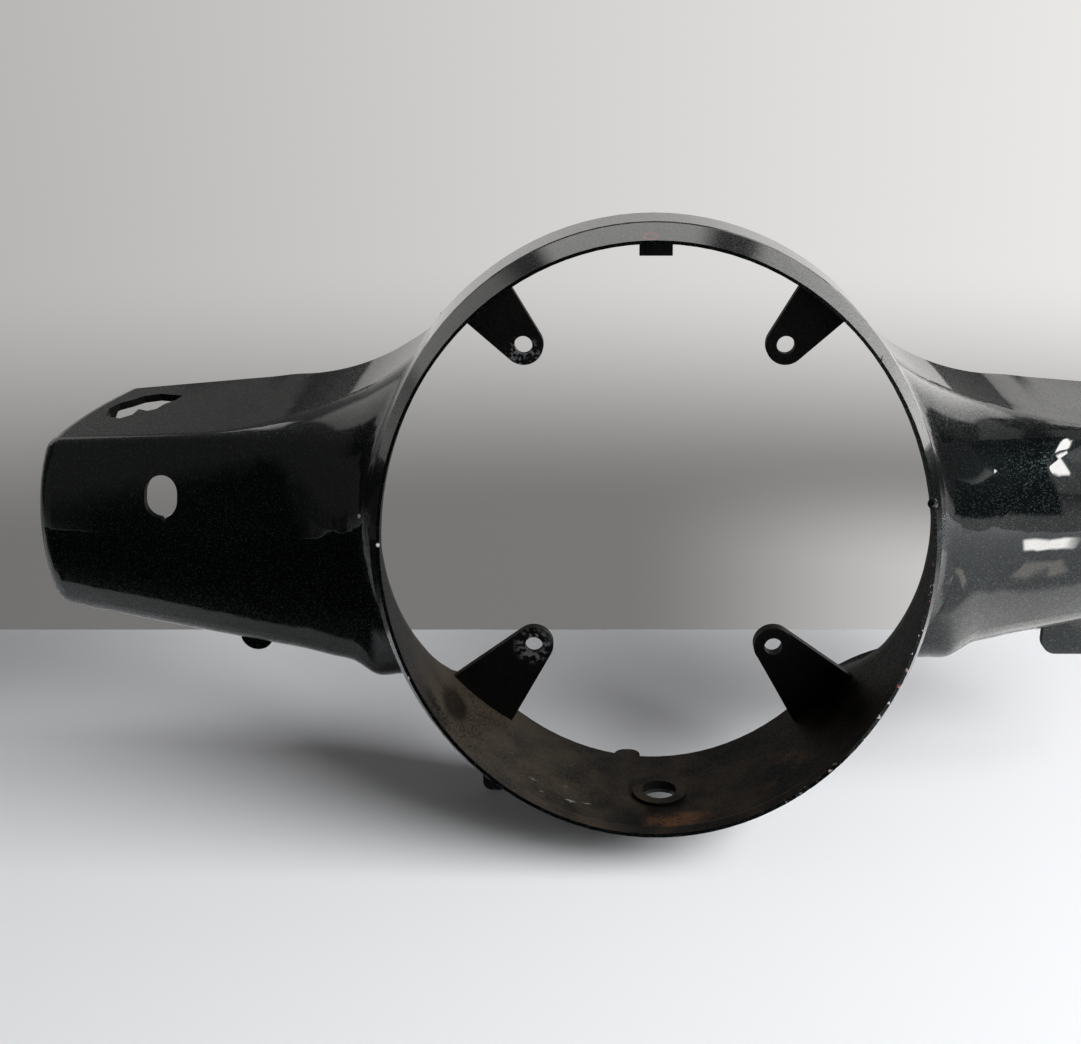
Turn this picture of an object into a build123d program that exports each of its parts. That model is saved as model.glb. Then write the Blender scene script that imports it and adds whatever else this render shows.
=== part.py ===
from build123d import *
import math
import os

# Front cowl of a scooter handlebar: one moulded shell with a lamp bowl and two hollow wings.
# Millimetres, +Z up, +Y to the rear, left is -X as seen from in front.
# The origin is the centre of the lamp opening, where the lamp axis crosses the plane of the rim.

# Shell
WALL = 2.5
BACK_Y = 150.0
STOCK = 700.0

# Lamp bowl: a round opening whose rim leans back
LAMP_BORE_R = 82.3
RIM_TILT = 20.0
LIP_WIDTH = 1.0
BEZEL_WIDTH = 3.2
BEZEL_SLOPE = 25.0
BEZEL_ROUND = 4.0
BEZEL_LEAD = 20.0
BOWL_R = LAMP_BORE_R + LIP_WIDTH + BEZEL_WIDTH
BOWL_DRAFT = 1.5

# Wings: top edge, lower edge, bellied front, and the flares that carry both edges up to the bowl
SPAN = 200.5
WING_TOP_END = 21.5
WING_TOP_RISE = 4.0
WING_TOP_REF_Y = 97.0
LEFT_TOP_SLOPE = 6.5
RIGHT_TOP_SLOPE = 4.5
LEFT_LOW_END = 40.9
RIGHT_LOW_END = 36.5
WING_LOW_RISE = 9.5
WING_FRONT_Y = 27.0
WING_PLAN_R = 1500.0
RIDGE_Z = 3.0
CREASE_LEAN = 11.0
LOW_LEAN = 6.0
CREASE_ROUND = 7.0
LOW_ROUND = 13.0
TOP_FLARE_R = 78.0
LOW_FLARE_R = 68.0
FLARE_Y = 60.0
TOP_FLARE_SINK = 1.5
LOW_FLARE_SINK = 2.0
VALLEY_ROUND = 13.0
WING_STATIONS = 24

# Wing roots: the crease softens and the front swells forward towards the bowl
ROOT_CREASE_ROUND = 42.0
CREASE_FADE_START = 150.0
CREASE_FADE_LENGTH = 52.0
ROOT_SWELL = 6.0
ROOT_SWELL_START = 122.0
ROOT_SWELL_LENGTH = 38.0

# Wing ends: bowed, rounded over, and open behind a lip
END_TRIM = 3.0
END_BOW_R = 112.0
END_BOW_Y = 48.0
END_ROUND = 6.0
END_LIP = 6.5
END_HOLE_ROUND = 6.0
END_CUT_DEPTH = 22.0

# Rear edge: a leaning parting plane, a straight top edge, and a recess behind the bowl's top
PARTING_Y = 80.0
PARTING_SLOPE = 0.70
TOP_EDGE_Y = 99.0
RECESS_Y = 60.0
RECESS_HALF_WIDTH = 72.0
RECESS_FRONT_ROUND = 24.0
RECESS_REAR_ROUND = 14.0

# Lamp tabs and their screws
LAMP_SCREW_D = 5.0
SCREW_CLEARANCE = 0.7
TAB_THICK = 3.0
TAB_TIP_R = 6.3
UPPER_TAB_X = 41.0
UPPER_TAB_Y = 40.0
UPPER_TAB_Z = 49.8
UPPER_TAB_BASE_R = 9.5
LOWER_TAB_X = 38.5
LOWER_TAB_Y = 20.0
LOWER_TAB_Z = -43.7
LOWER_TAB_BASE_R = 12.0
LOWER_PAD_RAISE = 1.0

# Small fittings moulded on the bowl
TONGUE_WIDTH = 10.0
TONGUE_Y = 33.0
TONGUE_DROP = 6.5
DRAIN_R = 5.3
DRAIN_X = 1.6
DRAIN_Y = -4.0
DRAIN_PAD_R = 8.5
DRAIN_PAD_RAISE = 1.5
EDGE_TONGUE_X = -8.4
EDGE_TONGUE_WIDTH = 8.5
EDGE_TONGUE_REACH = 6.0
EDGE_TONGUE_GRIP = 5.0
EDGE_TONGUE_ROUND = 3.5
EDGE_TONGUE_THICK = 2.0
CABLE_LUG_X = -52.0
CABLE_LUG_Y = 16.0
CABLE_LUG_WIDTH = 8.0
CABLE_LUG_DROP = 7.5
CABLE_LUG_ROUND = 3.0
NUB_R = 1.6
NUB_Z = 9.5

# Prong on the right wing's floor
PRONG_X = 92.5
PRONG_Y = 42.0
PRONG_LEAN = 37.0
PRONG_LENGTH = 12.0
PRONG_R = 1.3

# Lugs under the wings: a round ear on the left, a slab on the right
LUG_SET_IN = 2.0
LUG_RISE = 4.0
EAR_X = 133.4
EAR_R = 5.5
EAR_DROP = 2.8
SLAB_NEAR_X = 134.0
SLAB_WIDTH = 27.0
SLAB_DROP = 13.5
SLAB_ROUND = 5.0

# Openings in the left wing: switch hole in front, and the mirror hole whose edge has broken away
SWITCH_FROM_END = 42.5
SWITCH_X = SWITCH_FROM_END - SPAN
SWITCH_Z = 1.6
SWITCH_WIDTH = 10.8
SWITCH_HEIGHT = 12.8
SWITCH_CHIP_WIDTH = 5.7
SWITCH_CHIP_DROP = 1.3
MIRROR_FROM_END = 24.0
MIRROR_X = MIRROR_FROM_END - SPAN
MIRROR_Y = 81.0
MIRROR_BREAK = [
    (-9.2, -11.8),
    (-10.2, -4.3),
    (-8.2, 0.0),
    (-4.6, 2.6),
    (-1.4, 5.9),
    (4.1, 7.0),
    (13.0, 3.6),
    (11.6, -0.6),
    (8.7, -3.8),
    (7.2, -8.2),
    (4.4, -9.6),
    (0.8, -7.2),
    (0.2, -12.4),
    (-3.2, -15.2),
]


def tan_deg(angle):
    return math.tan(math.radians(angle))


def cos_deg(angle):
    return math.cos(math.radians(angle))


def sin_deg(angle):
    return math.sin(math.radians(angle))


def eased(share):
    """Smooth step from 0 to 1."""
    share = min(1.0, max(0.0, share))
    return share * share * (3 - 2 * share)


def bowl_radius(y):
    """Outer radius of the bowl, which widens a little to the rear."""
    return BOWL_R + y * tan_deg(BOWL_DRAFT)


def nearest(shape, point):
    return shape.vertices().sort_by_distance(point)[0]


# Outline of a wing seen from the front


def flare_centre(end_z, rise, flare_r, sink):
    """Centre of the arc that joins a wing's edge line to a circle sunk a little in the bowl."""
    slope = tan_deg(rise)
    height = end_z + SPAN * slope + flare_r / cos_deg(rise)
    reach = bowl_radius(FLARE_Y) - sink + flare_r
    root = math.sqrt((height * slope) ** 2 - (1 + slope ** 2) * (height ** 2 - reach ** 2))
    across = (height * slope + root) / (1 + slope ** 2)
    return across, height - slope * across


def outline_height(across, end_z, rise, flare_r, sink, inset):
    """Height of a wing's edge at a distance across from the middle: line, arc, then sunk circle."""
    mid_x, mid_z = flare_centre(end_z, rise, flare_r, sink)
    sunk_r = bowl_radius(FLARE_Y) - sink
    line_joint = mid_x + (flare_r + inset) * sin_deg(rise)
    bowl_joint = mid_x * (sunk_r - inset) / (sunk_r + flare_r)
    if across >= line_joint:
        return end_z + (SPAN - across) * tan_deg(rise) - inset / cos_deg(rise)
    if across >= bowl_joint:
        return mid_z - math.sqrt((flare_r + inset) ** 2 - (across - mid_x) ** 2)
    return math.sqrt((sunk_r - inset) ** 2 - across ** 2)


def wing_floor(across, low_end):
    """Height of a wing's lower face at a distance across from the middle."""
    return -outline_height(across, low_end, WING_LOW_RISE, LOW_FLARE_R, LOW_FLARE_SINK, 0)


# Section of a wing, seen from its end


def circle_through(a, b, c):
    """Centre and radius of the circle through three points of a plane."""
    twice = 2 * (a[0] * (b[1] - c[1]) + b[0] * (c[1] - a[1]) + c[0] * (a[1] - b[1]))
    a2 = a[0] ** 2 + a[1] ** 2
    b2 = b[0] ** 2 + b[1] ** 2
    c2 = c[0] ** 2 + c[1] ** 2
    u = (a2 * (b[1] - c[1]) + b2 * (c[1] - a[1]) + c2 * (a[1] - b[1])) / twice
    v = (a2 * (c[0] - b[0]) + b2 * (a[0] - c[0]) + c2 * (b[0] - a[0])) / twice
    return u, v, math.hypot(a[0] - u, a[1] - v)


def wing_section(across, low_end, top_slope, inset):
    """Outline of the left wing in the plane x = -across, pulled in by the inset."""
    flare_x, flare_z = flare_centre(WING_TOP_END, WING_TOP_RISE, TOP_FLARE_R, TOP_FLARE_SINK)
    share = (across - BOWL_R / 2) / (flare_x - BOWL_R / 2)
    slope = tan_deg(top_slope * min(1.0, max(0.0, share)))
    outer_top = outline_height(across, WING_TOP_END, WING_TOP_RISE, TOP_FLARE_R, TOP_FLARE_SINK, 0)
    outer_low = wing_floor(across, low_end)
    top = outline_height(across, WING_TOP_END, WING_TOP_RISE, TOP_FLARE_R, TOP_FLARE_SINK, inset)
    low = -outline_height(across, low_end, WING_LOW_RISE, LOW_FLARE_R, LOW_FLARE_SINK, inset)
    swell = ROOT_SWELL * eased((ROOT_SWELL_START - across) / ROOT_SWELL_LENGTH)
    front = WING_FRONT_Y + across ** 2 / (2 * WING_PLAN_R) - swell
    crease_y = front + CREASE_LEAN
    crease_z = outer_top - (WING_TOP_REF_Y - crease_y) * slope
    lower_point = (front + LOW_LEAN, outer_low)
    mid_y, mid_z, radius = circle_through((crease_y, crease_z), (front, RIDGE_Z), lower_point)
    radius = radius - inset
    gap = top - WING_TOP_REF_Y * slope - mid_z
    half = mid_y - slope * gap
    steep = 1 + slope ** 2
    y_top = (half - math.sqrt(half ** 2 - steep * (mid_y ** 2 + gap ** 2 - radius ** 2))) / steep
    z_top = top - (WING_TOP_REF_Y - y_top) * slope
    y_low = mid_y - math.sqrt(radius ** 2 - (low - mid_z) ** 2)
    crease = (-across, y_top, z_top)
    corner = (-across, y_low, low)
    back_top = (-across, BACK_Y, top + (BACK_Y - WING_TOP_REF_Y) * slope)
    back_low = (-across, BACK_Y, low)
    edges = [
        Line(back_top, crease),
        ThreePointArc(crease, (-across, mid_y - radius, mid_z), corner),
        Line(corner, back_low),
        Line(back_low, back_top),
    ]
    face = Face(Wire(edges))
    fade = eased((CREASE_FADE_START - across) / CREASE_FADE_LENGTH)
    crease_round = CREASE_ROUND + (ROOT_CREASE_ROUND - CREASE_ROUND) * fade
    face = face.fillet_2d(crease_round - inset, [nearest(face, crease)])
    face = face.fillet_2d(LOW_ROUND - inset, [nearest(face, corner)])
    return face.outer_wire()


# Solids of the outer form, and of the hollow inside it when pulled in by the wall


def behind_plane(y_at_zero, slope):
    """Block filling everything behind the plane y = y_at_zero + slope * z."""
    tilt = math.degrees(math.atan(slope))
    block = Box(STOCK, STOCK, STOCK, align=(Align.CENTER, Align.MIN, Align.CENTER))
    return Pos(0, y_at_zero, 0) * Rot(X=-tilt) * block


def bowl_bar(inset):
    """Slightly tapered bar along the lamp axis, as wide as the bowl pulled in by the inset."""
    front_r = bowl_radius(-BACK_Y) - inset
    back_r = bowl_radius(BACK_Y) - inset
    return Plane.XZ * Rot(Z=90) * Cone(back_r, front_r, 2 * BACK_Y)


def bezel_cone(inset):
    """Cone that meets the leaning rim plane at the lip and widens to the rear at the bezel's slope."""
    lip_r = LAMP_BORE_R + LIP_WIDTH
    rings = []
    for y in (-BEZEL_LEAD, 2 * BACK_Y):
        across = lip_r + y * tan_deg(BEZEL_SLOPE)
        facing = (0, -cos_deg(RIM_TILT), sin_deg(RIM_TILT))
        leaning = Plane(origin=(0, y, 0), x_dir=(1, 0, 0), z_dir=facing)
        ring = leaning * Rot(Z=90) * Ellipse(across / cos_deg(RIM_TILT), across)
        rings.append(ring.face())
    return Pos(0, inset / sin_deg(BEZEL_SLOPE), 0) * loft(rings)


def bowl_form(inset):
    """Bowl: a tapered bar along the lamp axis, cut by the leaning rim plane, with a sloped bezel."""
    bowl = bowl_bar(inset) & behind_plane(inset / cos_deg(RIM_TILT), tan_deg(RIM_TILT))
    bowl = bowl & bezel_cone(inset)
    hoops = bowl.edges().filter_by(lambda e: e.is_closed)
    bezel_edge = hoops.sort_by(lambda e: e.bounding_box().center().Y)[1]
    return fillet(bezel_edge, BEZEL_ROUND - inset)


def wing_form(low_end, top_slope, inset):
    """Left wing, from inside the bowl to its bowed and rounded end."""
    reach = SPAN + END_TRIM
    step = (reach - BOWL_R / 2) / (WING_STATIONS - 1)
    sections = [
        wing_section(reach - step * i, low_end, top_slope, inset)
        for i in range(WING_STATIONS)
    ]
    wing = Part(Solid.make_loft(sections).wrapped)
    beyond = Box(STOCK, STOCK, STOCK, align=(Align.MAX, Align.CENTER, Align.CENTER))
    beyond = beyond - Cylinder(END_BOW_R - inset, STOCK)
    wing = wing - Pos(END_BOW_R - SPAN, END_BOW_Y, 0) * beyond
    end_face = wing.faces().sort_by(Axis.X)[0]
    end_edges = [e for e in end_face.edges() if e.center().Y < BACK_Y - 1]
    return fillet(end_edges, END_ROUND - inset)


def cowl_form(inset):
    """Bowl and both wings as one solid, with the valleys between them rounded."""
    bowl = bowl_form(inset)
    left = wing_form(LEFT_LOW_END, LEFT_TOP_SLOPE, inset)
    right = wing_form(RIGHT_LOW_END, RIGHT_TOP_SLOPE, inset).mirror(Plane.YZ)
    body = bowl + left + right
    valleys = new_edges(bowl, left, right, combined=body)
    return fillet(valleys, VALLEY_ROUND + inset)


# Fittings and openings


def upright(shape, y_front, depth):
    """Plate drawn in the front view, from its front face back."""
    return extrude(Plane.XZ.offset(-y_front) * shape, amount=-depth)


def lamp_tab(x, y, z, base_r, pad_raise):
    """Tapered tab from the bowl's wall to a rounded tip that carries a lamp screw."""
    away = (bowl_radius(y) - WALL) / math.hypot(x, z)
    tip = Pos(x, z) * Circle(TAB_TIP_R)
    base = Pos(x * away, z * away) * Circle(base_r)
    blade = upright(make_hull(tip.edges() + base.edges()), y, TAB_THICK)
    pad = upright(tip, y - pad_raise, pad_raise + TAB_THICK)
    hole_r = (LAMP_SCREW_D + SCREW_CLEARANCE) / 2
    hole = upright(Pos(x, z) * Circle(hole_r), y - TAB_THICK, 3 * TAB_THICK)
    return ((blade + pad) & bowl_bar(WALL / 2)) - hole


def top_tongue():
    """Short plate hanging behind the rim's top."""
    plate = Box(TONGUE_WIDTH, TAB_THICK, TONGUE_DROP + WALL, align=(Align.CENTER, Align.MIN, Align.MIN))
    low_z = bowl_radius(TONGUE_Y) - WALL - TONGUE_DROP
    return Pos(0, TONGUE_Y, low_z) * plate & bowl_bar(WALL / 2) & bezel_cone(WALL / 2)


def drain_pad():
    """Raised pad round the drain hole, inside the bowl's lowest wall."""
    pad = Cylinder(DRAIN_PAD_R, WALL + DRAIN_PAD_RAISE, align=(Align.CENTER, Align.CENTER, Align.MIN))
    return Pos(DRAIN_X, DRAIN_Y, -bowl_radius(DRAIN_Y)) * pad & bowl_bar(WALL / 2)


def edge_tongue():
    """Locating tongue that stands out behind the bowl's lower rear edge."""
    edge_y = PARTING_Y - PARTING_SLOPE * BOWL_R
    length = EDGE_TONGUE_REACH + EDGE_TONGUE_GRIP
    plan = RectangleRounded(EDGE_TONGUE_WIDTH, length, EDGE_TONGUE_ROUND)
    plate = extrude(plan, amount=EDGE_TONGUE_THICK)
    low_z = -math.sqrt((bowl_radius(edge_y) - WALL / 2) ** 2 - EDGE_TONGUE_X ** 2) - EDGE_TONGUE_THICK / 2
    return Pos(EDGE_TONGUE_X, edge_y + EDGE_TONGUE_REACH - length / 2, low_z) * plate


def cable_lug():
    """Strip hanging under the bowl's lower left, for a cable."""
    low_z = -bowl_radius(CABLE_LUG_Y) - CABLE_LUG_DROP
    wall_z = -math.sqrt(BOWL_R ** 2 - CABLE_LUG_X ** 2)
    height = wall_z - low_z + CABLE_LUG_WIDTH
    strip = RectangleRounded(CABLE_LUG_WIDTH, height, CABLE_LUG_ROUND)
    lug = upright(Pos(CABLE_LUG_X, low_z + height / 2) * strip, CABLE_LUG_Y, TAB_THICK)
    return lug - bowl_bar(WALL / 2)


def prong():
    """Thin pin that leans in from the right wing's floor."""
    pin = Cylinder(PRONG_R, PRONG_LENGTH, align=(Align.CENTER, Align.CENTER, Align.MIN))
    foot_z = wing_floor(PRONG_X, RIGHT_LOW_END) + WALL / 2
    return Pos(PRONG_X, PRONG_Y, foot_z) * Rot(Y=-PRONG_LEAN) * pin


def rim_nub():
    """Small bump on the right of the rim's inner edge."""
    rim_y = NUB_Z * tan_deg(RIM_TILT)
    return Pos(LAMP_BORE_R, rim_y + WALL / 2, NUB_Z) * Sphere(NUB_R)


def lug_front_y(floor_z):
    """Front face of a lug that hangs from a wing's floor, just ahead of the parting plane."""
    return PARTING_Y + PARTING_SLOPE * floor_z - LUG_SET_IN


def ear_lug():
    """Round-ended lug under the left wing."""
    floor_z = wing_floor(EAR_X, LEFT_LOW_END)
    middle = Pos(-EAR_X, floor_z - EAR_DROP + EAR_R)
    return upright(middle * Circle(EAR_R), lug_front_y(floor_z), TAB_THICK)


def slab_lug():
    """Wider lug with rounded corners under the right wing."""
    mid_x = SLAB_NEAR_X + SLAB_WIDTH / 2
    floor_z = wing_floor(mid_x, RIGHT_LOW_END)
    height = SLAB_DROP + LUG_RISE
    slab = Pos(mid_x, floor_z + LUG_RISE - height / 2) * RectangleRounded(SLAB_WIDTH, height, SLAB_ROUND)
    return upright(slab, lug_front_y(floor_z), TAB_THICK)


def end_opening(low_end, top_slope):
    """Cut that opens the left wing's end for the handlebar, leaving a lip."""
    front = WING_FRONT_Y + SPAN ** 2 / (2 * WING_PLAN_R) + END_LIP
    top = WING_TOP_END - (WING_TOP_REF_Y - front) * tan_deg(top_slope) - END_LIP
    low = -low_end + END_LIP
    side = Plane.YZ * Pos(front + BACK_Y / 2, (top + low) / 2)
    block = extrude(side * RectangleRounded(BACK_Y, top - low, END_HOLE_ROUND), END_CUT_DEPTH, both=True)
    return Pos(-SPAN, 0, 0) * block


def switch_hole():
    """Upright oval through the left wing's front, chipped at the bottom."""
    oval = Pos(SWITCH_X, SWITCH_Z) * SlotOverall(SWITCH_HEIGHT, SWITCH_WIDTH, rotation=90)
    foot = SWITCH_Z - SWITCH_HEIGHT / 2
    left = (SWITCH_X - SWITCH_CHIP_WIDTH / 2, foot + SWITCH_WIDTH / 4)
    right = (SWITCH_X + SWITCH_CHIP_WIDTH / 2, foot + SWITCH_WIDTH / 4)
    tip = (SWITCH_X + SWITCH_CHIP_WIDTH / 5, foot - SWITCH_CHIP_DROP)
    chip = make_face(Polyline(left, right, tip, close=True))
    return upright(oval + chip, 0, WING_TOP_REF_Y)


def mirror_hole():
    """Ragged hole in the left wing's top where the mirror stem broke out."""
    ragged = make_face(Polyline(*MIRROR_BREAK, close=True))
    return Pos(MIRROR_X, MIRROR_Y, 0) * extrude(ragged, amount=BOWL_R)


def top_trim():
    """Cut behind the straight top edge, with a rounded recess that reaches to the bowl's top."""
    behind = (Align.CENTER, Align.MIN)
    plan = Pos(0, TOP_EDGE_Y) * Rectangle(STOCK, STOCK, align=behind)
    plan = plan + Pos(0, RECESS_Y) * Rectangle(2 * RECESS_HALF_WIDTH, STOCK, align=behind)
    front_corners = [v for v in plan.vertices() if v.Y < (RECESS_Y + TOP_EDGE_Y) / 2]
    plan = fillet(front_corners, RECESS_FRONT_ROUND)
    rear_corners = [nearest(plan, (side * RECESS_HALF_WIDTH, TOP_EDGE_Y)) for side in (-1, 1)]
    plan = fillet(rear_corners, RECESS_REAR_ROUND)
    return extrude(plan, amount=STOCK)


shell = cowl_form(0) - cowl_form(WALL)
shell = shell - Plane.XZ * Cylinder(LAMP_BORE_R, 2 * BOWL_R)
shell = shell - behind_plane(PARTING_Y, PARTING_SLOPE)
shell = shell - top_trim()
shell = shell - end_opening(LEFT_LOW_END, LEFT_TOP_SLOPE)
shell = shell - end_opening(RIGHT_LOW_END, RIGHT_TOP_SLOPE).mirror(Plane.YZ)

for side in (-1, 1):
    shell = shell + lamp_tab(side * UPPER_TAB_X, UPPER_TAB_Y, UPPER_TAB_Z, UPPER_TAB_BASE_R, 0)
    shell = shell + lamp_tab(side * LOWER_TAB_X, LOWER_TAB_Y, LOWER_TAB_Z, LOWER_TAB_BASE_R, LOWER_PAD_RAISE)
for fitting in (top_tongue, drain_pad, edge_tongue, cable_lug, prong, rim_nub, ear_lug, slab_lug):
    shell = shell + fitting()

shell = shell - Pos(DRAIN_X, DRAIN_Y, -BOWL_R) * Cylinder(DRAIN_R, BOWL_R)
shell = shell - switch_hole()
shell = shell - mirror_hole()

os.makedirs("parts", exist_ok=True)
export_step(shell, "parts/cowl.step")
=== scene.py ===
import math
import bpy
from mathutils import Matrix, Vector

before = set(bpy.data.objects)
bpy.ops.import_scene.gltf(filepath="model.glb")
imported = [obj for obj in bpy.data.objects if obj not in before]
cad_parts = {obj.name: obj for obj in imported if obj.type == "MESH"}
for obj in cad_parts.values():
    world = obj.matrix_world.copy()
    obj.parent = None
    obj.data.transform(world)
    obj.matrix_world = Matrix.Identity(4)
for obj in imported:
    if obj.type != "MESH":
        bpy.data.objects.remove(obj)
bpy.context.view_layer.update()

MM = 0.001

# Camera: its place before the lamp opening, and where its axis meets the picture
PICTURE_W = 1081
PICTURE_H = 1044
FOCAL_PX = 1348
SENSOR_MM = 36
NEAREST_SEEN_M = 0.01
EYE_DISTANCE = 400
EYE_ELEVATION = 20
EYE_ACROSS = -12
AXIS_PX = (616.1, 539)

# Table under the cowl
TABLE_Z = -95.6
TABLE_BACK_Y = 150
TABLE_FRONT_Y = -900
TABLE_HALF_WIDTH = 1500
TABLE_WHITE = (0.78, 0.79, 0.81)
TABLE_ROUGHNESS = 0.6

# Pale wall with the cowl's soft shadow on it, and a dim ceiling, as tones of the room by direction
WALL_TINT = (1.0, 0.985, 0.965)
WALL_TONE = 0.67
WALL_RIGHTWARD = 0.71
SHADE = 0.72
SHADE_FADE = (0.14, 0.32)
SHADE_RIGHTWARD = 0.25
LIT_ACROSS = (0.0, 0.26)
LIT_BELOW = (0.275, 0.36)
LIT_SHARE = 0.68
CEILING = 0.13
CEILING_FADE = (0.05, 0.42)

# Screen where the wall is, which keeps the room's light from behind off the table
BACK_SHADE_GAP = 2
BACK_SHADE_TOP = 500
BACK_SHADE_TONE = (0.12, 0.12, 0.12)

# Window light, from the right and in front
WINDOW_SPOT = (1200, -450, 760)
WINDOW_AIM = (0, -20, -60)
WINDOW_SIZE = (1700, 800)
WINDOW_RADIANCE = 11.5

# Cards far out in the room: name, turns from straight behind, heights, tone, distance, soft share of the edge
FAR = 2500
NEARER = 2250
FAR_CARDS = (
    ("upper_glow", (-32, 22), (40, 59), 2.0, FAR, 0.15),
    ("left_glow", (-68, -34), (12, 48), 0.75, FAR, 0.15),
    ("left_band", (-26, -13), (9, 22.2), 0.03, NEARER, 0.1),
    ("right_top", (12, 32), (15, 40), 0.75, FAR, 0.15),
    ("right_band", (14, 27), (5, 17.8), 0.03, NEARER, 0.08),
    ("right_glow", (27, 62), (-6, 47), 1.8, FAR, 0.15),
    ("high_right", (43, 120), (40, 68), 0.5, FAR, 0.15),
    ("dim_right", (60, 122), (3, 42), 0.15, NEARER, 0.15),
    ("right_window", (114, 140), (8, 43), 1.4, FAR, 0.15),
    ("front_window", (132, 152), (16, 45), 0.8, FAR, 0.15),
    ("dark_front", (-194, -130), (-26, 74), 0.015, NEARER, 0.15),
    ("dim_left", (-146, -94), (-4, 62), 0.14, FAR, 0.15),
    ("dark_left", (-102, -66), (-4, 42), 0.03, NEARER, 0.15),
)

# Upright cards close to the cowl: name, corners, tone, soft share of the edge
UPRIGHT_CARDS = (
    ("right_shade", ((92, 2, -2), (147, 2, -2), (147, 2, 90), (92, 2, 90)), 0.05, 0.04),
    ("pane", ((198, -79, 78), (205, -75, 78), (200, -31, 131), (184, -39, 131)), 22, 0.12),
    ("pane_top", ((184, -39, 131), (200, -31, 131), (184, 33, 161), (173, 33, 161)), 22, 0.12),
    ("low_pane", ((218, -185, -82), (249, -168, -82), (249, -168, -42), (218, -185, -42)), 20, 0.25),
)

# Level cards: name, height, corners, tone, tint, soft share of the edge
TABLE_CARD_Z = TABLE_Z + 0.3
END_CARD_Z = TABLE_CARD_Z + 0.3
WARM_TINT = (1.0, 0.95, 0.88)
LEVEL_CARDS = (
    ("right_shade_top", 60, ((90, -20), (149, -20), (147, 45), (90, 45)), 0.04, WALL_TINT, 0.03),
    ("dark_table", TABLE_CARD_Z, ((-800, -960), (60, -960), (60, -50), (-800, -50)), 0.01, WALL_TINT, 0.03),
    ("dark_table_end", END_CARD_Z, ((-800, -130), (-105, -130), (-105, 12), (-800, 12)), 0.01, WALL_TINT, 0.03),
    ("table_glow", TABLE_CARD_Z, ((118, -40), (330, -40), (330, 70), (118, 70)), 2.4, WALL_TINT, 0.15),
    ("table_gleam", TABLE_CARD_Z, ((176, -48), (200, -60), (232, -145), (206, -145)), 3.0, WARM_TINT, 0.3),
)

# Shape of the cowl that its finishes follow
RIM_LEAN = math.tan(math.radians(20))
HEART = (0, 70, -8)
WALL_FRONT_R = 82.0
WALL_FRONT_FLARE = 0.466
WALL_BACK_R = 85.3
WALL_BACK_FLARE = 0.026
INNER_BLEND = 1.0
FITTING_BLEND = 0.2
LIP_DEPTH = (0.6, 1.0)
REAR_FACING = (0.5, 0.6)

# Flake paint, under a clear coat
PAINT_DARK = (0.0025, 0.004, 0.0045)
FLAKE_BRIGHT = (0.034, 0.046, 0.048)
FLAKE_FINENESS = 3.0
FLAKE_TILT = 0.26
FLAKE_RARITY = 8
PAINT_METAL = 0.9
PAINT_ROUGHNESS = 0.36
COAT_ROUGHNESS = 0.03
SHEEN = 0.08

# Bare plastic, the dirt on it, and painted sheen on the tab tips
PLASTIC_DARK = (0.0006, 0.0008, 0.0010)
PLASTIC_PALE = (0.0040, 0.0036, 0.0032)
PLASTIC_ROUGHNESS = 0.5
DUST_ROUGHNESS = 0.3
DUST_FACING = (0.0, 0.7)
DUST_TONE = (0.036, 0.030, 0.022)
FILM_TONE = (0.034, 0.025, 0.017)
FILM_DEPTH = (22, 66)
FILM_SHARE = 0.8
RUST_TONE = (0.075, 0.034, 0.016)
SCRATCH_TONE = (0.16, 0.15, 0.14)
OVAL_TONE = (0.001, 0.001, 0.001)
OVAL_SHARE = 0.8
# Painted sheen: lighter grey where light catches the tips of the tabs
TAB_SHEEN_TONE = (0.06, 0.062, 0.066)

# Noises of the dirt and of the painted tab-tip sheen (scale and detail), shares of one in another, and where
# each patch starts and is full
MOTTLE = (0.09, 6.0)
GRAIN = (1.4, 2.0)
STREAKS = (0.35, 4.0)
STREAK_STRETCH = (0.25, 1, 1)
DUST_MOTTLE = 0.6
DUST_DRIFT = 0.3
DUST_PATCH = (0.9, 1.3)
FILM_GRAIN = 0.4
FILM_PATCH = (0.45, 1.05)
SCUFF_GRAIN = 0.5
SCUFF_PATCH = (0.66, 0.95)
STAIN_GRAIN = 0.6
STAIN_PATCH = (0.6, 1.0)
SCRATCH_PATCH = (0.62, 0.68)
OVAL_GRAIN = 0.4
OVAL_PATCH = (0.45, 0.8)
LOWER_SHEEN_NOISE = (0.5, 4.0)
LOWER_SHEEN_PATCH = (0.48, 0.56)
UPPER_SHEEN_NOISE = (0.6, 4.0)
UPPER_SHEEN_PATCH = (0.5, 0.58)

# Chips and knocks that show under the paint, and the painted reflection on a small dimple's rim
CHIP_NOISE = (0.7, 4.0)
CHIP_PATCH = (0.6, 0.66)
CHIP_HUE = (0.25, 3.0)
CHIP_HUE_PATCH = (0.45, 0.6)
CHIPPED_SIDE_LEAN = 0.6
CHIPPED_SIDE = (70, 100)
CHIPPED_HEIGHT = (-15, 5)
CHIP_PALE = (0.42, 0.40, 0.38)
CHIP_RED = (0.16, 0.05, 0.04)
KNOCK_TONE = (0.42, 0.42, 0.42)
# Painted reflection: red-brown ring on a small dimple's rim in the bezel's top
DIMPLE_REFLECTION_TONE = (0.11, 0.012, 0.010)
RING_SPOT = (-1.6, 32.7, 84.2)
RING_INSIDE = (1.2, 1.6)
RING_OUTSIDE = (2.1, 2.6)
CHIPPED_LIP_DEPTH = (1.0, 1.6)
CHIPPED_LIP_R = (83.3, 83.9)

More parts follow.
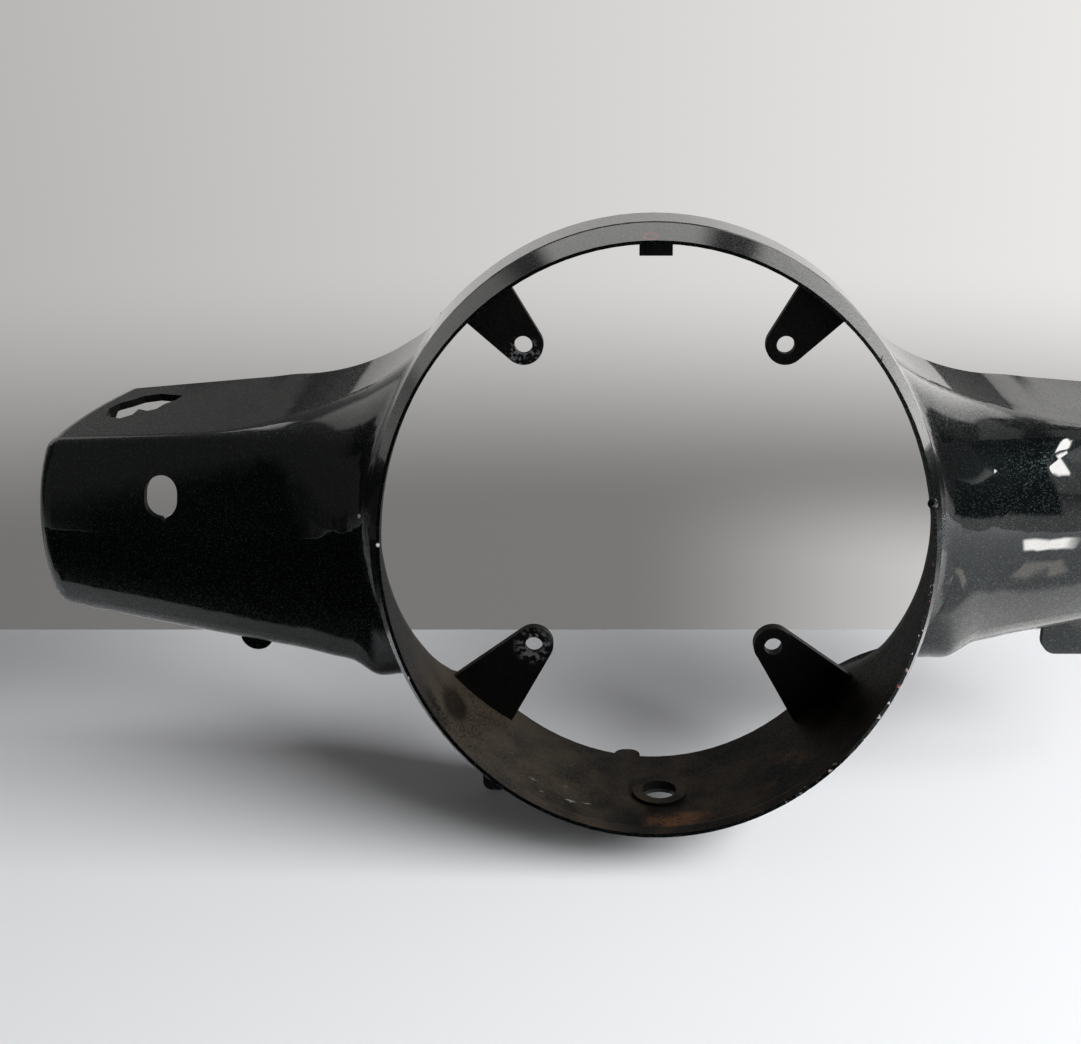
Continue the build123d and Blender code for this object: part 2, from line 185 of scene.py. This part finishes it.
# Marks: how each axis is stretched, the spot in the stretched place, and its reach, full up to a share of it
MARK_CORE = 0.5
ROUND = (1, 1, 1)
DRIFT = ((0.75, 1, 1), (-38, 6, -66), 42)
SCUFF = ((1, 0.7, 1), (41, -5.6, -73), 11)
STAIN = ((0.4, 1, 1), (2.8, -21, -83.4), 6)
SCRATCHES = ((0.45, 1, 1), (-13, -15.6, -78), 9)
OVAL = ((1, 0.6, 1), (-62, 1.5, -56), 7)
# Painted sheen on the lower and upper tab tips, where light catches them
LOWER_TAB_SHEEN = (ROUND, (-38.5, 19, -43.7), 7.5)
UPPER_TAB_SHEEN = (ROUND, (-41, 40, 47), 6.5)
FIRST_KNOCK = (ROUND, (-82.7, -0.6, -1.7), 0.8)
OTHER_KNOCKS = (
    (ROUND, (-73.8, -13.7, -39), 0.9),
    (ROUND, (-92.4, 22.9, -0.7), 0.9),
    (ROUND, (-82.9, -5, -14), 0.8),
)


class Value:
    """Output of a shader node that joins Python expressions."""

    def __init__(self, finish, socket):
        self.finish = finish
        self.socket = socket

    def __add__(self, other):
        return self.finish.maths("ADD", self, other)

    def __radd__(self, other):
        return self.finish.maths("ADD", other, self)

    def __sub__(self, other):
        return self.finish.maths("SUBTRACT", self, other)

    def __rsub__(self, other):
        return self.finish.maths("SUBTRACT", other, self)

    def __mul__(self, other):
        return self.finish.maths("MULTIPLY", self, other)

    def __rmul__(self, other):
        return self.finish.maths("MULTIPLY", other, self)

    def __pow__(self, other):
        return self.finish.maths("POWER", self, other)


class Finish:
    """Node tree of a material or of the room."""

    def __init__(self, owner):
        owner.use_nodes = True
        self.tree = owner.node_tree

    def add(self, kind, sockets=None, out=0, **settings):
        """New node: its settings first, then its inputs by name or number; gives one output."""
        node = self.tree.nodes.new(kind)
        for name, value in settings.items():
            setattr(node, name, value)
        self.feed(node, sockets or {})
        return Value(self, node.outputs[out])

    def feed(self, node, sockets):
        for name, value in sockets.items():
            if isinstance(value, Value):
                self.tree.links.new(value.socket, node.inputs[name])
            else:
                node.inputs[name].default_value = value

    def maths(self, operation, *values):
        return self.add("ShaderNodeMath", dict(enumerate(values)), operation=operation)

    def greater(self, first, second):
        return self.maths("MAXIMUM", first, second)

    def vectors(self, operation, *values, out=0):
        return self.add("ShaderNodeVectorMath", dict(enumerate(values)), out, operation=operation)

    def parts(self, vector):
        """The three numbers of a vector."""
        return [self.add("ShaderNodeSeparateXYZ", {0: vector}, axis) for axis in range(3)]

    def rise(self, value, low, high):
        """Smooth step from 0 below low to 1 above high."""
        steps = {"Value": value, "From Min": low, "From Max": high}
        return self.add("ShaderNodeMapRange", steps, interpolation_type="SMOOTHSTEP")

    def fall(self, value, low, high):
        return 1 - self.rise(value, low, high)

    def blend(self, mask, under, over):
        """Colour that goes from one to the other by the mask."""
        return self.add("ShaderNodeMix", {0: mask, 6: under, 7: over}, 2, data_type="RGBA")

    def noise(self, where, scale, detail):
        sockets = {"Vector": where, "Scale": scale, "Detail": detail}
        return self.add("ShaderNodeTexNoise", sockets, "Fac")

    def distance(self, where, spot):
        return self.vectors("DISTANCE", where, spot, out="Value")

    def mark(self, where, stretch, spot, reach):
        """1 at a mark's spot, fading to 0 at its reach."""
        stretched = self.vectors("MULTIPLY", where, stretch)
        return self.fall(self.distance(stretched, spot), MARK_CORE * reach, reach)


def rgb(colour):
    return (*colour, 1)


def plain_material(name, colour, roughness):
    material = bpy.data.materials.new(name)
    finish = Finish(material)
    shader = finish.tree.nodes["Principled BSDF"]
    finish.feed(shader, {"Base Color": rgb(colour), "Roughness": roughness, "Specular IOR Level": 0.0})
    return material


def cowl_finish():
    """Gloss flake paint outside and bare dusty plastic inside, told apart by place and facing."""
    material = bpy.data.materials.new("cowl_paint_and_plastic")
    finish = Finish(material)
    rise, fall, blend, noise, mark = finish.rise, finish.fall, finish.blend, finish.noise, finish.mark
    place_m = finish.add("ShaderNodeTexCoord", out="Object")
    where = finish.vectors("MULTIPLY", place_m, (1 / MM, 1 / MM, 1 / MM))
    x, y, z = finish.parts(where)
    facing = finish.add("ShaderNodeNewGeometry", out="Normal")
    nx, ny, nz = finish.parts(facing)
    radius = (x * x + z * z) ** 0.5
    behind_rim = y - z * RIM_LEAN

    # Where the plastic is bare
    outward = nx * (x - HEART[0]) + ny * (y - HEART[1]) + nz * (z - HEART[2])
    inner = fall(outward, -INNER_BLEND, INNER_BLEND)
    wall_front = WALL_FRONT_R + WALL_FRONT_FLARE * behind_rim
    wall_back = WALL_BACK_R + WALL_BACK_FLARE * y
    beyond_wall = radius - finish.maths("MINIMUM", wall_front, wall_back)
    fittings = fall(beyond_wall, -FITTING_BLEND, FITTING_BLEND) * rise(behind_rim, *LIP_DEPTH)
    rear_edge = rise(ny, *REAR_FACING)
    bare = finish.greater(finish.greater(inner, fittings), rear_edge)

    # Flakes in the paint
    cells = finish.add("ShaderNodeTexVoronoi", {"Vector": where, "Scale": FLAKE_FINENESS}, "Color")
    scatter = finish.vectors("SUBTRACT", cells, (0.5, 0.5, 0.5))
    scatter = finish.vectors("MULTIPLY", scatter, (FLAKE_TILT, FLAKE_TILT, FLAKE_TILT))
    flake_facing = finish.vectors("NORMALIZE", finish.vectors("ADD", facing, scatter))
    sparkle = finish.add("ShaderNodeSeparateColor", {0: cells})
    paint = blend(sparkle ** FLAKE_RARITY, rgb(PAINT_DARK), rgb(FLAKE_BRIGHT))

    # Dust and stains on the bare plastic, and painted sheen on the tab tips
    upward = rise(nz, *DUST_FACING)
    mottle = noise(where, *MOTTLE)
    grain = noise(where, *GRAIN)
    streaks = noise(finish.vectors("MULTIPLY", where, STREAK_STRETCH), *STREAKS)
    drift = mark(where, *DRIFT)
    dust = upward * drift * rise(grain + DUST_MOTTLE * mottle + DUST_DRIFT * drift, *DUST_PATCH)
    film = upward * rise(-1 * z, *FILM_DEPTH) * rise(mottle + FILM_GRAIN * grain, *FILM_PATCH)
    plastic = blend(mottle, rgb(PLASTIC_DARK), rgb(PLASTIC_PALE))
    plastic = blend(FILM_SHARE * film, plastic, rgb(FILM_TONE))
    plastic = blend(dust, plastic, rgb(DUST_TONE))
    scuff = mark(where, *SCUFF) * rise(mottle + SCUFF_GRAIN * grain, *SCUFF_PATCH)
    stain = mark(where, *STAIN) * rise(mottle + STAIN_GRAIN * grain, *STAIN_PATCH)
    plastic = blend(finish.greater(scuff, stain), plastic, rgb(RUST_TONE))
    scratches = mark(where, *SCRATCHES) * rise(streaks, *SCRATCH_PATCH)
    plastic = blend(scratches, plastic, rgb(SCRATCH_TONE))
    oval_spot = mark(where, *OVAL) * rise(mottle + OVAL_GRAIN * grain, *OVAL_PATCH)
    plastic = blend(OVAL_SHARE * oval_spot, plastic, rgb(OVAL_TONE))
    # Painted sheen: lighter grey patches on the tab tips, where light catches them
    lower_tab_sheen = mark(where, *LOWER_TAB_SHEEN) * rise(noise(where, *LOWER_SHEEN_NOISE), *LOWER_SHEEN_PATCH)
    upper_tab_sheen = mark(where, *UPPER_TAB_SHEEN) * rise(noise(where, *UPPER_SHEEN_NOISE), *UPPER_SHEEN_PATCH)
    plastic = blend(finish.greater(lower_tab_sheen, upper_tab_sheen), plastic, rgb(TAB_SHEEN_TONE))

    # Chips along the lip and small knocks
    lip = fall(behind_rim, *CHIPPED_LIP_DEPTH) * fall(radius, *CHIPPED_LIP_R)
    worn_side = rise(x - CHIPPED_SIDE_LEAN * z, *CHIPPED_SIDE) * fall(z, *CHIPPED_HEIGHT)
    chips = lip * worn_side * rise(noise(where, *CHIP_NOISE), *CHIP_PATCH)
    knocks = mark(where, *FIRST_KNOCK)
    for knock in OTHER_KNOCKS:
        knocks = finish.greater(knocks, mark(where, *knock))
    chip_tone = blend(rise(noise(where, *CHIP_HUE), *CHIP_HUE_PATCH), rgb(CHIP_PALE), rgb(CHIP_RED))
    chip_tone = blend(knocks, chip_tone, rgb(KNOCK_TONE))
    chips = finish.greater(chips, knocks)

    # Small red-brown ring on the bezel's top: painted reflection on the rim of a small dimple that is not
    # shaped
    ring_reach = finish.distance(where, RING_SPOT)
    dimple_reflection = rise(ring_reach, *RING_INSIDE) * fall(ring_reach, *RING_OUTSIDE)

    colour = blend(bare, blend(dimple_reflection, paint, rgb(DIMPLE_REFLECTION_TONE)), plastic)
    colour = blend(chips, colour, chip_tone)
    painted = (1 - bare) * (1 - chips)
    bare_roughness = PLASTIC_ROUGHNESS + DUST_ROUGHNESS * dust
    shader = finish.tree.nodes["Principled BSDF"]
    finish.feed(shader, {
        "Base Color": colour,
        "Metallic": PAINT_METAL * painted,
        "Roughness": PAINT_ROUGHNESS * painted + (1 - painted) * bare_roughness,
        "Coat Weight": painted,
        "Coat Roughness": COAT_ROUGHNESS,
        "Specular IOR Level": SHEEN,
        "Normal": flake_facing,
    })
    return material


def place(name, data):
    """New object in the scene's collection."""
    thing = bpy.data.objects.new(name, data)
    bpy.context.scene.collection.objects.link(thing)
    return thing


def eye():
    """Camera level from left to right, shifted as the photo was cropped."""
    lens = bpy.data.cameras.new("eye")
    lens.sensor_width = SENSOR_MM
    lens.lens = SENSOR_MM * FOCAL_PX / PICTURE_W
    lens.shift_x = (PICTURE_W / 2 - AXIS_PX[0]) / PICTURE_W
    lens.shift_y = (AXIS_PX[1] - PICTURE_H / 2) / PICTURE_W
    lens.clip_start = NEAREST_SEEN_M
    camera = place("eye", lens)
    tilt = math.radians(EYE_ELEVATION)
    ahead = -EYE_DISTANCE * math.cos(tilt)
    camera.location = Vector((EYE_ACROSS, ahead, EYE_DISTANCE * math.sin(tilt))) * MM
    camera.rotation_euler = (math.radians(90 - EYE_ELEVATION), 0, 0)
    bpy.context.scene.camera = camera


def sheet(name, corners, material):
    """Flat stage piece through its corners, in mm."""
    mesh = bpy.data.meshes.new(name)
    mesh.from_pydata([Vector(corner) * MM for corner in corners], [], [range(len(corners))])
    mesh.materials.append(material)
    piece = place(name, mesh)
    return piece


def table():
    corners = [
        (-TABLE_HALF_WIDTH, TABLE_FRONT_Y, TABLE_Z),
        (TABLE_HALF_WIDTH, TABLE_FRONT_Y, TABLE_Z),
        (TABLE_HALF_WIDTH, TABLE_BACK_Y, TABLE_Z),
        (-TABLE_HALF_WIDTH, TABLE_BACK_Y, TABLE_Z),
    ]
    sheet("table", corners, plain_material("table_white", TABLE_WHITE, TABLE_ROUGHNESS))


def back_shade():
    shade_y = TABLE_BACK_Y + BACK_SHADE_GAP
    corners = [
        (-TABLE_HALF_WIDTH, shade_y, TABLE_Z),
        (TABLE_HALF_WIDTH, shade_y, TABLE_Z),
        (TABLE_HALF_WIDTH, shade_y, BACK_SHADE_TOP),
        (-TABLE_HALF_WIDTH, shade_y, BACK_SHADE_TOP),
    ]
    shade = sheet("back_shade", corners, plain_material("back_shade", BACK_SHADE_TONE, 1.0))
    shade.visible_camera = False
    shade.visible_glossy = False
    shade.visible_transmission = False


def card(name, corners, tone, tint, soft):
    """Seen only in the cowl's gloss, soft at its edges: dark to hold light off, bright for a highlight."""
    material = bpy.data.materials.new(name)
    finish = Finish(material)
    across, up, _ = finish.parts(finish.add("ShaderNodeTexCoord", out="UV"))
    edge = finish.rise(across, 0, soft) * finish.fall(across, 1 - soft, 1)
    edge = edge * finish.rise(up, 0, soft) * finish.fall(up, 1 - soft, 1)
    shader = finish.tree.nodes["Principled BSDF"]
    finish.feed(shader, {
        "Base Color": rgb((0, 0, 0)),
        "Specular IOR Level": 0.0,
        "Emission Color": rgb(tint),
        "Emission Strength": tone,
        "Alpha": edge,
    })
    piece = sheet(name, corners, material)
    whole = piece.data.uv_layers.new(name="whole")
    for loop, corner in zip(whole.data, ((0, 0), (1, 0), (1, 1), (0, 1))):
        loop.uv = corner
    piece.visible_camera = False
    piece.visible_diffuse = False
    piece.visible_shadow = False
    piece.visible_transmission = False


def far_spot(turn, height, away):
    """Place in the room at a turn from straight behind and a height, in degrees."""
    flat = away * math.cos(math.radians(height))
    angle = math.radians(turn)
    return (flat * math.sin(angle), flat * math.cos(angle), away * math.sin(math.radians(height)))


def far_card(name, turns, heights, tone, away, soft):
    """Card between two turns and two heights."""
    corners = [
        far_spot(turns[0], heights[0], away),
        far_spot(turns[1], heights[0], away),
        far_spot(turns[1], heights[1], away),
        far_spot(turns[0], heights[1], away),
    ]
    card(name, corners, tone, WALL_TINT, soft)


def room():
    """World whose wall brightens to the right, shaded behind the cowl, under a dim ceiling."""
    world = bpy.data.worlds.new("room")
    finish = Finish(world)
    across, _, up = finish.parts(finish.add("ShaderNodeTexCoord", out="Generated"))
    below = -1 * up
    lit = LIT_SHARE * finish.rise(across, *LIT_ACROSS) * finish.rise(below, *LIT_BELOW)
    shade = SHADE * finish.rise(below, *SHADE_FADE) * (1 - lit) * (1 + SHADE_RIGHTWARD * across)
    wall = WALL_TONE * (1 + WALL_RIGHTWARD * across) * (1 - shade)
    ceiling = finish.rise(up, *CEILING_FADE)
    tone = wall * (1 - ceiling) + CEILING * ceiling
    grey = finish.add("ShaderNodeCombineColor", {axis: tone * WALL_TINT[axis] for axis in range(3)})
    finish.feed(finish.tree.nodes["Background"], {"Color": grey})
    bpy.context.scene.world = world


def window_light():
    """Soft area light of an even brightness."""
    lamp = bpy.data.lights.new("window", "AREA")
    lamp.shape = "RECTANGLE"
    lamp.size, lamp.size_y = (side * MM for side in WINDOW_SIZE)
    lamp.energy = WINDOW_RADIANCE * math.pi * lamp.size * lamp.size_y
    light = place("window", lamp)
    light.location = Vector(WINDOW_SPOT) * MM
    light.rotation_mode = "QUATERNION"
    light.rotation_quaternion = (Vector(WINDOW_AIM) - Vector(WINDOW_SPOT)).to_track_quat("-Z", "Y")
    light.visible_camera = False
    light.visible_glossy = False


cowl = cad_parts["cowl"]
dressed = cowl_finish()
for slot in cowl.material_slots:
    slot.material = dressed
eye()
table()
room()
back_shade()
window_light()
for far in FAR_CARDS:
    far_card(*far)
for name, corners, tone, soft in UPRIGHT_CARDS:
    card(name, corners, tone, WALL_TINT, soft)
for name, height, spots, tone, tint, soft in LEVEL_CARDS:
    card(name, [(across, along, height) for across, along in spots], tone, tint, soft)
bpy.context.scene.view_settings.view_transform = "Standard"
